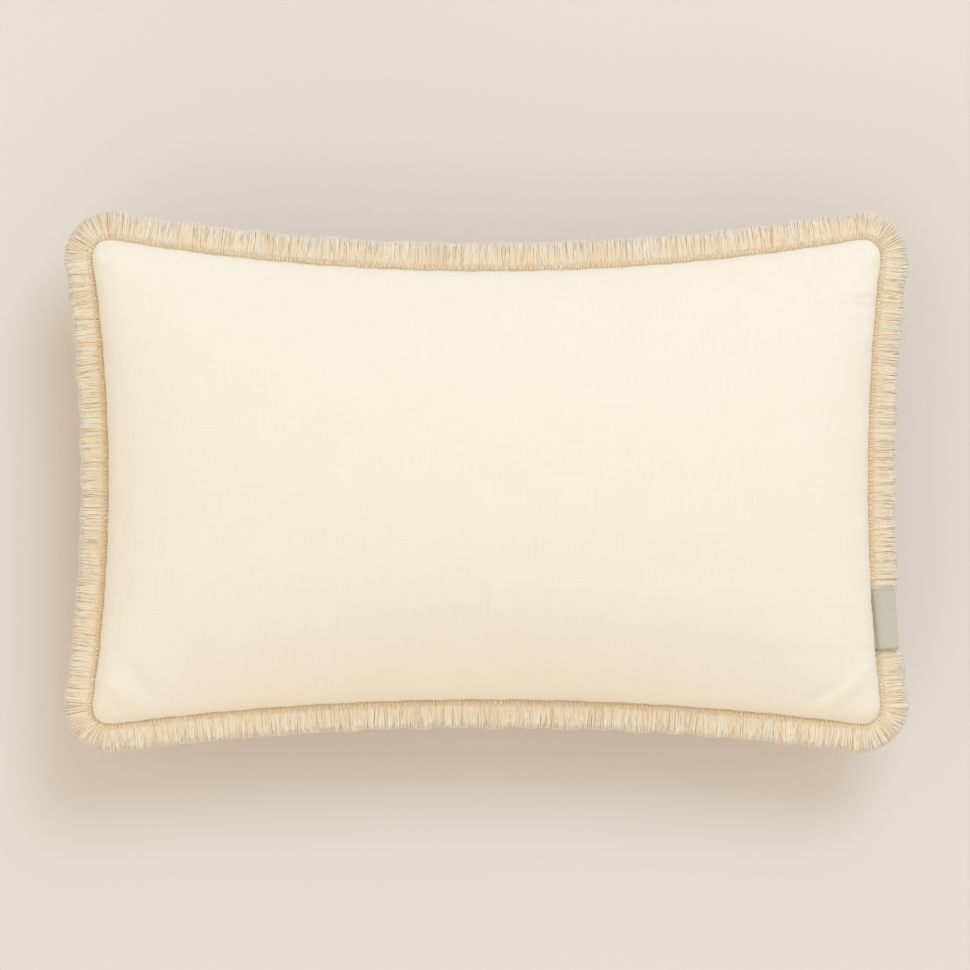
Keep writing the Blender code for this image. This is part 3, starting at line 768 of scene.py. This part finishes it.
def cover_panel(name, shape, side, seed):
    """Finished points of a cover panel: its shape, bent by a share of what the simulation does."""
    held = shape(U, V)
    rest = shape(U, V, 1.004)
    rest[..., 2] = SEAM_Z + (rest[..., 2] - SEAM_Z) * 0.985
    change = inflate(name, rest, held, side) - held
    blur_a, blur_b = (blurring(count, 4.0) for count in GRID)
    broad = np.stack([blur_a @ change[..., k] @ blur_b.T for k in range(3)], axis=-1)
    creases = change - broad
    inner = np.clip(COVER_SEAM.depth(U, V) / (12 * MM), 0, 1)[..., None]
    fine = shape(FINE_U, FINE_V)
    crown_high = abs(fine[..., 2] - SEAM_Z).max()
    fine += refined(inner * (0.45 * broad + 0.12 * creases))
    back_to_crown = crown_high / abs(fine[..., 2] - SEAM_Z).max()
    inner = np.clip(COVER_SEAM.depth(FINE_U, FINE_V) / (30 * MM), 0, 1)
    fine[..., 2] = SEAM_Z + (fine[..., 2] - SEAM_Z) * (1 + (back_to_crown - 1) * inner)
    gathers = 1.0 if side > 0 else 1.5
    fine[..., 2] += puckers(COVER_SEAM, FINE_U, FINE_V, side, seed) * gathers
    scallop(fine, FINE_U, FINE_V, seed + 5)
    return fine


def cover_front():
    fine = cover_panel("cover_front_cloth", front_shape, 1, 11)
    # each fold's place in metres, its lean in radians, then how long, wide and high in mm
    folds = (((-0.215, 0.121), -0.5, 24, 3.5, 0.85), ((0.224, 0.113), 0.06, 12, 1.8, 1.36),
             ((0.224, 0.105), -0.06, 13, 1.9, -1.19), ((0.220, -0.122), 0.75, 26, 5.0, 2.04),
             ((0.205, -0.127), 0.5, 20, 4.0, -1.02), ((-0.221, -0.127), -0.7, 24, 6.0, 1.53),
             ((-0.208, -0.119), -0.9, 22, 4.5, -0.85), ((-0.160, 0.124), -1.2, 15, 4.0, 0.595),
             ((0.150, 0.126), 1.25, 15, 4.0, 0.51), ((0.222, 0.026), 0.1, 14, 3.0, 0.51))
    place = COVER_SEAM.plan(FINE_U, FINE_V)
    for spot, lean, long, wide, high in folds:
        fine[..., 2] += fold(place, spot, lean, long * MM, wide * MM, high * MM)
    panel("cover_front_cloth", "cover_front_panel", "canvas", 1, fine, (FINE_U, FINE_V),
          (CUT_X, CUT_Y), ALLOWANCE, CLOTH, CANVAS)


def cover_back():
    fine = cover_panel("cover_back_cloth", back_shape, -1, 23)
    fine[..., 2] = np.maximum(settle(fine[..., 2], 0.0, 1.1 * MM), 0.0)
    panel("cover_back_cloth", "cover_back_panel", "canvas", -1, fine, (FINE_U, FINE_V),
          (CUT_X, CUT_Y), ALLOWANCE, CLOTH, CANVAS)


def casing(name, node, side, crown_high):
    """One side of the insert's casing, its edges left outside its seam."""
    u, v = np.meshgrid(spread(60, 1.3), spread(40, 1.3), indexing="ij")
    edge = 0.75 * MM
    swell = roll(INSERT_SEAM.depth(u, v), INSERT_ROLL)
    z = SEAM_Z + side * (edge + (crown_high - edge) * crown(u, v) + swell)
    z += puckers(INSERT_SEAM, u, v, side, 40 + side) * 2.0
    if side < 0:
        z = settle(z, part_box(node)[0].z, 1.5 * MM)
    grid = np.concatenate([INSERT_SEAM.plan(u, v), z[..., None]], axis=-1)
    panel(name, node, "non_woven", side, grid, (u, v), (470 * MM, 270 * MM), -4 * MM, 0.4 * MM, NON_WOVEN)


def filling():
    """The fibre: the inside of the casings, lumpy, closed along its seam."""
    u, v = np.meshgrid(spread(70, 1.3), spread(46, 1.3), indexing="ij")
    plan = FIBRE_SEAM.plan(u, v)
    low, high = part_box("insert_filling")
    rng = np.random.default_rng(3)
    lumps = np.zeros_like(u)
    for _ in range(14):
        wave = rng.uniform(20, 60) * MM
        lean = rng.uniform(0, math.pi)
        across = plan[..., 0] * math.cos(lean) + plan[..., 1] * math.sin(lean)
        lumps += np.sin(across * FULL_TURN / wave + rng.uniform(0, ANY_PHASE))
    inner = np.clip(FIBRE_SEAM.depth(u, v) / (10 * MM), 0, 1)
    shrink = (1.2 * MM + 0.25 * MM * lumps) * inner
    upper = SEAM_Z + np.maximum(0, (high.z - SEAM_Z) * crown(u, v) - shrink)
    lower = SEAM_Z - np.maximum(0, 58 * MM * crown(u, v) - shrink)
    lower = np.maximum(lower, low.z + abs(lumps) * 0.1 * MM)
    shells = [np.concatenate([plan, z[..., None]], axis=-1).reshape(-1, 3) for z in (upper, lower)]
    index = np.arange(u.size).reshape(u.shape)
    shared = np.zeros(u.shape, bool)
    shared[[0, -1]] = True
    shared[:, [0, -1]] = True
    lower_index = np.where(shared, index, index + u.size)
    top = grid_faces(*u.shape)
    under = lower_index.ravel()[top][:, ::-1]
    item = make_mesh("insert_fibre", np.concatenate(shells), [np.concatenate([top, under])], FIBRE)
    keep(item, PILLOW, "fibre", "insert_filling")


# ---- fringe ----
def section_points(place, outward, out, up):
    """Places in the seam's section, at points round it: out and up have a row for each point."""
    plan = place[:, None, :] + outward[:, None, :] * out[..., None]
    return np.concatenate([plan, (SEAM_Z + up)[..., None]], axis=-1)


def sideways_from(outward):
    return np.stack([-outward[:, 1], outward[:, 0]], axis=-1)


def heading_loops():
    """Two rows of small loops, over and under the heading, that the brush's yarns are bound into."""
    count = int(SEAM_LONG / LOOP_PITCH)
    place, outward, _, _ = COVER_SEAM.around(count)
    sideways = sideways_from(outward)
    turn = np.linspace(0, FULL_TURN, 9)[:-1]
    rng = np.random.default_rng(17)
    inside = 1.6 * MM
    long = LOOP_LONG * (1 + 0.1 * rng.normal(size=count))
    out = -inside + (long[:, None] + inside) * (0.5 - 0.5 * np.cos(turn))[None]
    across = 0.42 * MM * np.sin(turn)[None] * (1 + 0.15 * rng.normal(size=(count, 1)))
    lean = 0.12 * rng.normal(size=(count, 1)) * out
    up = 0.3 * MM + 0.35 * MM * np.sin(np.clip(out / LOOP_LONG, 0, 1) * math.pi * 0.8)
    for name, side in (("fringe_loops_front", 1), ("fringe_loops_back", -1)):
        paths = section_points(place, outward, out, side * up)
        paths[..., :2] += sideways[:, None, :] * (across + lean)[..., None]
        item = strands(name, paths, 0.3 * MM, 4, HEADING_YARN, closed=True)
        keep(item, PILLOW, "yarn")


def heading_tape():
    """The woven tape that holds the loops, sewn between the allowances. Its deep colour is painted shade in
    the gaps between the loops.
    """
    count = 700
    place, outward, _, _ = COVER_SEAM.around(count)
    out = np.broadcast_to(np.array([-7.0, -4.0, -1.0, 1.2]) * MM, (count, 4))
    points = section_points(place, outward, out, 0 * out)
    faces = grid_faces(count + 1, 4)[:, ::-1] % points[..., 0].size      # the last run meets the first
    item = make_mesh("fringe_heading_tape", points.reshape(-1, 3), [faces], HEADING_TAPE)
    thicken(item, 0.36 * MM)
    keep(item, PILLOW, "tape", "fringe_heading")


def brush(count=24000):
    """The cut yarns, in tufts that close up or spread apart, in a few runs round the seam."""
    place, outward, at, total = COVER_SEAM.around(count)
    sideways = sideways_from(outward)
    rng = np.random.default_rng(29)
    place = place + sideways * (rng.normal(size=(count, 1)) * 0.25 * MM)
    tuft = waves(at, total, (3.4 * MM, 5.2 * MM), 31)
    sweep = waves(at, total, (22 * MM, 45 * MM), 37)
    shade = waves(at, total, (14 * MM, 30 * MM, 52 * MM), 41)
    streak = waves(at, total, (1.9 * MM, 3.1 * MM), 43)
    share = np.linspace(0, 1, 5)[None]

    # how far out the yarns reach: about even, with a few that are cut short
    tip = YARN_TIP * (1 + 0.014 * rng.normal(size=count)) + 0.3 * MM * sweep
    cut_short = np.where(rng.random(count) < 0.04, rng.uniform(0, 1.8, count), 0)
    tip = np.minimum(tip - cut_short * MM, YARN_LONGEST)
    out = YARN_ROOT + (tip[:, None] - YARN_ROOT) * share

    # how they lean and curl: the upper yarns part in tufts over an even bed
    layer = rng.uniform(-1, 1, count)
    loose = 0.45 + 0.55 * (layer > 0.2)
    tilt = 0.035 * sweep + loose * (0.04 * rng.normal(size=count) + 0.045 * tuft)
    curl = loose * rng.normal(size=count) * 0.4 * MM
    across = tilt[:, None] * out + curl[:, None] * np.sin(share * math.pi * 0.9)
    up = (0.2 * MM * layer)[:, None] + (0.95 * MM * layer)[:, None] * share ** 0.8
    up = up + rng.normal(size=(count, 1)) * 0.15 * MM * share ** 2 - 0.4 * MM * share ** 2

    # the side label presses them down and in
    pressed = np.exp(-((place[:, 1] - LABEL_B) / (19.5 * MM)) ** 8) * (place[:, 0] > 0)
    out = out * (1 - 0.13 * pressed[:, None] * share)
    up = up - 1.3 * MM * pressed[:, None] * share ** 1.5

    paths = section_points(place, outward, out, up)
    paths[..., :2] += sideways[:, None, :] * across[..., None]
    radius = YARN_R * (0.95 + 0.15 * rng.random(count))[:, None] * (1 - 0.15 * share ** 3)
    tone = np.clip(0.5 + 0.2 * shade + 0.14 * streak + 0.13 * rng.normal(size=count), 0, 1)
    sides = 4
    for k in range(BRUSH_RUNS):
        part = slice(k * count // BRUSH_RUNS, (k + 1) * count // BRUSH_RUNS)
        item = strands(f"fringe_brush_{k + 1}", paths[part], radius[part], sides, YARN, smooth=False)
        set_values(item, "along", np.repeat(np.tile(share[0], count // BRUSH_RUNS), sides))
        set_values(item, "tone", np.repeat(tone[part], share.size * sides))
        keep(item, PILLOW, "yarn", *(["fringe_brush"] if k == 0 else []))


def overlock(name, node, seam, outer, inner, top):
    """Thread wrapped over raw edges: a zigzag of square stitches from outer to inner, top and under."""
    pitch = 2.2 * MM
    count = int(seam.around(4)[3] / pitch)
    place, outward, _, _ = seam.around(count)
    sideways = sideways_from(outward)
    outs = np.broadcast_to([outer, inner, inner, outer], (count, 4))
    ups = np.broadcast_to([top, top, -top, -top], (count, 4))
    runs = np.array([0.0, 0.5, 0.5, 1.0]) * pitch
    paths = section_points(place, outward, outs, ups)
    paths[..., :2] += sideways[:, None, :] * runs[None, :, None]
    aside = np.zeros_like(paths)
    aside[..., :2] = sideways[:, None, :]
    item = strands(name, paths, 0.16 * MM, 3, THREAD, aside=aside + [0, 0, 0.2])
    keep(item, PILLOW, "thread", node)


# ---- zip ----
BOTTOM_MID = HALF_Y - PULL_BOTTOM       # from the pillow's middle to its lower side
ZIP_AXIS_Y = -(BOTTOM_MID + float(arc_radius(HALF_X, PULL_BOTTOM)))
ZIP_SLOPE = math.radians(64.5)          # of the zip's strip below the seam
ZIP_OUT, ZIP_UP = -3.25 * MM, -6.75 * MM      # the zip's centre line
ZIP_REACH = -BOTTOM_MID - ZIP_OUT - ZIP_AXIS_Y      # its radius about its axis
TAPE_HALF, COIL_HALF = math.radians(6.12), math.radians(5.55)      # half the arcs they take


def on_zip(turn, along, across):
    """A place on the zip: its angle round the zip's axis, then up the strip and outward from it."""
    out = ZIP_OUT + along * math.cos(ZIP_SLOPE) + across * math.sin(ZIP_SLOPE)
    up = ZIP_UP + along * math.sin(ZIP_SLOPE) - across * math.cos(ZIP_SLOPE)
    turn, out, up = np.broadcast_arrays(turn, out, up)
    reach = -BOTTOM_MID - out - ZIP_AXIS_Y
    return np.stack([-np.sin(turn) * reach, ZIP_AXIS_Y + np.cos(turn) * reach, SEAM_Z + up], axis=-1)


def behind_rim(turn, along):
    """0 where the tape shows in the opening, rising to 1 where the back panel covers it."""
    share = opening_share(np.sin(turn) * ZIP_REACH, -1)
    out, up = share * OPENING_OUT - ZIP_OUT, BACK_EDGE + share * OPENING_UP - ZIP_UP
    rim = out * math.cos(ZIP_SLOPE) + up * math.sin(ZIP_SLOPE)
    covered = np.clip((rim + 0.15 * MM - along) / (1.5 * MM), 0, 1)
    return covered ** 2 * (3 - 2 * covered)


def zip_tape(name, node, section):
    """A woven strip, from its section as (along, across) points; it dips behind the panel's rim."""
    columns, rows, dip = 321, 41, 1.7 * MM
    turn = np.linspace(-1, 1, columns)[:, None] * TAPE_HALF
    corners = np.array(section) * MM
    run = np.concatenate([[0], np.cumsum(np.linalg.norm(np.diff(corners, axis=0), axis=1))])
    at = np.linspace(0, run[-1], rows)
    along, across = (np.interp(at, run, corners[:, k])[None] for k in range(2))
    points = on_zip(turn, along, across - dip * behind_rim(turn, along))
    item = make_mesh(name, points.reshape(-1, 3), [grid_faces(columns, rows)], TAPE_CLOTH)
    thicken(item, TAPE_THICK)
    keep(item, PILLOW, "tape", node)


def zip_coil(name, node, side):
    """Nylon monofilament wound in a flattened coil and sewn to its tape."""
    turns = int(2 * COIL_HALF * ZIP_REACH / (1.165 * MM))
    steps = 12
    count = turns * steps + 1
    share = np.linspace(-1, 1, count)
    angle = np.arange(count) / steps * FULL_TURN + (0 if side > 0 else math.pi)
    along = side * (1.28 + 1.42 * np.cos(angle)) * MM
    across = (1.28 + 0.62 * np.sin(angle)) * MM
    points = on_zip(share * COIL_HALF, along, across)[None]
    item = strands(name, points, 0.27 * MM, 6, NYLON)
    keep(item, PILLOW, "nylon", node)


def carried(node, round_over):
    """A metal piece as the CAD has it, with its edges broken."""
    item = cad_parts[node]
    item.data.materials.clear()
    item.data.materials.append(METAL)
    bevel = item.modifiers.new("edges", "BEVEL")
    bevel.width = round_over
    bevel.segments = 3
    bevel.limit_method = "ANGLE"
    bevel.angle_limit = math.radians(40)
    bevel.harden_normals = True


# ---- labels ----
def smooth_path(points, count):
    """Even points along a smooth curve through a few (out, up) points."""
    points = np.array(points, float)
    fine = finer(len(points) - 1, 12) @ points
    run = np.concatenate([[0], np.cumsum(np.linalg.norm(np.diff(fine, axis=0), axis=1))])
    at = np.linspace(0, run[-1], count)
    return np.stack([np.interp(at, run, fine[:, k]) for k in range(2)], axis=-1), run[-1]


def side_strip(name, node, slot, material, profile, side, b, width, thickness, lie):
    """A strip of tape sewn into the right or left side; lie moves its points to a natural place."""
    rows, columns = 60, 19
    path, long = smooth_path(np.array(profile) * MM, rows)
    out, along = np.meshgrid(path[:, 0], np.linspace(-0.5, 0.5, columns) * width, indexing="ij")
    up = np.broadcast_to(path[:, 1:2], out.shape)
    share = np.broadcast_to(np.linspace(0, 1, rows)[:, None], out.shape)
    out, along, up = lie(out, along, up, share)
    pull = PULL_RIGHT if side > 0 else PULL_LEFT
    lean = math.asin(b / float(arc_radius(HALF_Y, pull)))
    turn = -lean if side > 0 else math.pi + lean
    spot = bow(np.array(side * HALF_X), np.array(b))
    x = spot[0] + out * math.cos(turn) - along * math.sin(turn)
    y = spot[1] + out * math.sin(turn) + along * math.cos(turn)
    points = np.stack([x, y, SEAM_Z + up], axis=-1)
    item = make_mesh(name, points.reshape(-1, 3), [grid_faces(rows, columns)], material)
    set_cut(item, np.stack([along, share * long], axis=-1).reshape(-1, 2))
    thicken(item, thickness)
    keep(item, PILLOW, slot, node)


def lie_of_label(out, along, up, share):
    """The label's mouth gapes towards the top, where its two layers part."""
    free = np.clip(out / (14 * MM), 0, 1)
    half = LABEL_WIDE / 2
    upper_layer = share > 0.5
    skew = -0.085 * along * (1 - free) * (out > -1 * MM)
    upward = np.clip(along / half, 0, 1)
    gape = upward ** 2 * free * np.where(upper_layer, 0.8 * MM, -0.4 * MM)
    along = along + upward * free * np.where(upper_layer, -0.5 * MM, 0.5 * MM)
    droop = 0.25 * MM * np.sin(along / half * 2.2) * free
    return out + skew * 0.4, along, up + gape + droop


def lie_of_care_label(out, along, up, share):
    return out + 0.5 * MM * np.sin(along / (15 * MM) * 1.8) * share, along, up


def labels():
    """Each profile is a path of (out, up) points in mm."""
    folded = [(-7, 0.55), (-3, 0.5), (0.4, 0.6), (2.2, 2.1), (6, 2.45), (10, 2.5), (13.6, 2.62),
              (14.35, 3.05), (13.6, 3.5), (10, 3.55), (6, 3.4), (2.4, 2.95), (0.6, 1.15), (-3, 0.9),
              (-7, 0.95)]
    side_strip("side_label_tape", "side_label", "label", LABEL, folded, 1, LABEL_B, LABEL_WIDE,
               0.28 * MM, lie_of_label)
    hanging = [(-11.2, -2.2), (-11.3, -5), (-11.35, -9), (-11.5, -12.5), (-11.6, -16)]
    side_strip("care_label_satin", "care_label", "satin", SATIN, hanging, -1, -60 * MM, 30 * MM,
               0.25 * MM, lie_of_care_label)


# ---- backdrop, light and camera ----
def floor():
    """A pale plaster plane, a little below the pillow so that the two don't share a face."""
    look = Look("backdrop", 0.9)
    place = look.object_place()
    drift = look.noise(place, 1.3, 2.0)
    look.colour(look.ramp(drift, (0.3, (0.785, 0.722, 0.665)), (0.7, (0.81, 0.755, 0.705))))
    look.bump(look.noise(place, 900.0, 2.0), 0.05 * MM, 0.3)
    half = 3.0
    points = np.array([(-half, -half, 0), (half, -half, 0), (half, half, 0), (-half, half, 0)])
    item = make_mesh("backdrop", points, [np.array([[0, 1, 2, 3]])], look.material, smooth=False)
    item.location.z = -0.5 * MM


def aim(item, target):
    item.rotation_euler = (Vector(target) - item.location).to_track_quat("-Z", "Y").to_euler()


def soft_light(name, place, size, power, colour):
    lamp = bpy.data.lights.new(name, "AREA")
    lamp.shape = "SQUARE"
    lamp.size = size
    lamp.energy = power
    lamp.color = colour
    item = bpy.data.objects.new(name, lamp)
    item.location = place
    aim(item, (0, 0, 0.05))
    bpy.context.scene.collection.objects.link(item)


def lights():
    """Warm light from all round, a cool window above the top right, and a warm wall opposite."""
    world = bpy.data.worlds.new("soft_room")
    world.use_nodes = True
    surround = world.node_tree.nodes["Background"].inputs
    surround["Color"].default_value = (1.0, 0.925, 0.83, 1.0)
    surround["Strength"].default_value = 0.80
    bpy.context.scene.world = world
    soft_light("window", (1.25, 2.5, 3.1), 2.2, 56, (0.74, 0.94, 1.18))
    soft_light("wall", (-1.6, -2.2, 1.7), 2.6, 12, (1.0, 0.83, 0.58))


def camera_above():
    """A long lens straight above the pillow, as the photograph sees it."""
    lens = bpy.data.cameras.new("camera")
    lens.sensor_width = 36
    lens.lens = 135
    camera = bpy.data.objects.new("camera", lens)
    camera.location = (-0.6 * MM, -2.1 * MM, 2.26)
    bpy.context.scene.collection.objects.link(camera)
    bpy.context.scene.camera = camera
    bpy.context.scene.view_settings.view_transform = "Standard"


# ---- the whole ----
cover_front()
cover_back()
casing("insert_casing_upper", "insert_casing_front", 1,
       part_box("insert_casing_front")[1].z - SEAM_Z - INSERT_ROLL)
casing("insert_casing_lower", "insert_casing_back", -1, 58.5 * MM)
filling()
heading_tape()
heading_loops()
brush()
overlock("cover_overlock_thread", "cover_overlock", COVER_SEAM, -4.5 * MM, -9.6 * MM, 2.0 * MM)
overlock("insert_overlock_thread", "insert_overlock", INSERT_SEAM, 1.5 * MM, 5.2 * MM, 1.2 * MM)
zip_tape("zip_tape_upper_cloth", "zip_tape_upper", ((0.12, 0), (6.2, 0), (6.7, -0.5), (6.7, -6.0)))
zip_tape("zip_tape_lower_cloth", "zip_tape_lower",
         ((-0.12, 0), (-7.6, -0.3), (-9.0, -1.6), (-9.8, -4.5), (-9.8, -7.5)))
zip_coil("zip_coil_upper_wire", "zip_coil_upper", 1)
zip_coil("zip_coil_lower_wire", "zip_coil_lower", -1)
for stop in ("zip_top_stop_upper", "zip_top_stop_lower", "zip_bottom_stop"):
    carried(stop, 0.25 * MM)
carried("zip_slider", 0.15 * MM)
carried("zip_pull_tab", 0.2 * MM)
labels()
floor()
lights()
camera_above()
